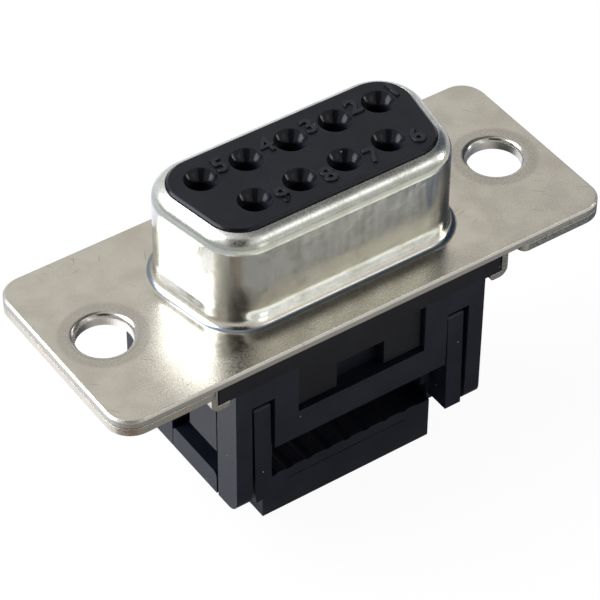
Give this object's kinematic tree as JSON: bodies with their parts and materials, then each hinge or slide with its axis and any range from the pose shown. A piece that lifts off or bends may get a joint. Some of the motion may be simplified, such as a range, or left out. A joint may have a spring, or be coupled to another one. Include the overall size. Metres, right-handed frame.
{
  "type": "d-sub connector",
  "caption": "D-sub socket connector for flat ribbon cable: drawn metal shell with eyeleted flange, moulded insulator and housing, stamped contacts and press-on cable cover.",
  "frame": {"origin": "centre of the flange's front face, midway between the two fixing holes", "axes": "+Z out of the socket face in the mating direction, +X along the flange towards contact 1, +Y to the side of the five-contact row"},
  "size_m": [0.0308, 0.0126, 0.0204],
  "materials": {
    "plated_shell": "satin tin plating on drawn steel",
    "plated_bracket": "bright tin plating on stamped steel",
    "insulator_plastic": "black glass-filled polyester, satin",
    "housing_plastic": "black glass-filled polyester, satin",
    "cover_plastic": "black glass-filled polyester, satin",
    "contact_metal": "gold-flashed copper alloy"
  },
  "bodies": {
    "connector": {"front_shell": "plated_shell", "rear_bracket_left": "plated_bracket", "rear_bracket_right": "plated_bracket", "front_insulator": "insulator_plastic", "contact_housing": "housing_plastic", "contact_1": "contact_metal", "contact_2": "contact_metal", "contact_3": "contact_metal", "contact_4": "contact_metal", "contact_5": "contact_metal", "contact_6": "contact_metal", "contact_7": "contact_metal", "contact_8": "contact_metal", "contact_9": "contact_metal"},
    "cover": {"cable_cover": "cover_plastic"}
  },
  "joints": [
    {"name": "cover_press", "type": "slide", "parent": "connector", "child": "cover", "axis": [0, 0, 1], "range_m": [0, 0.0014]}
  ]
}
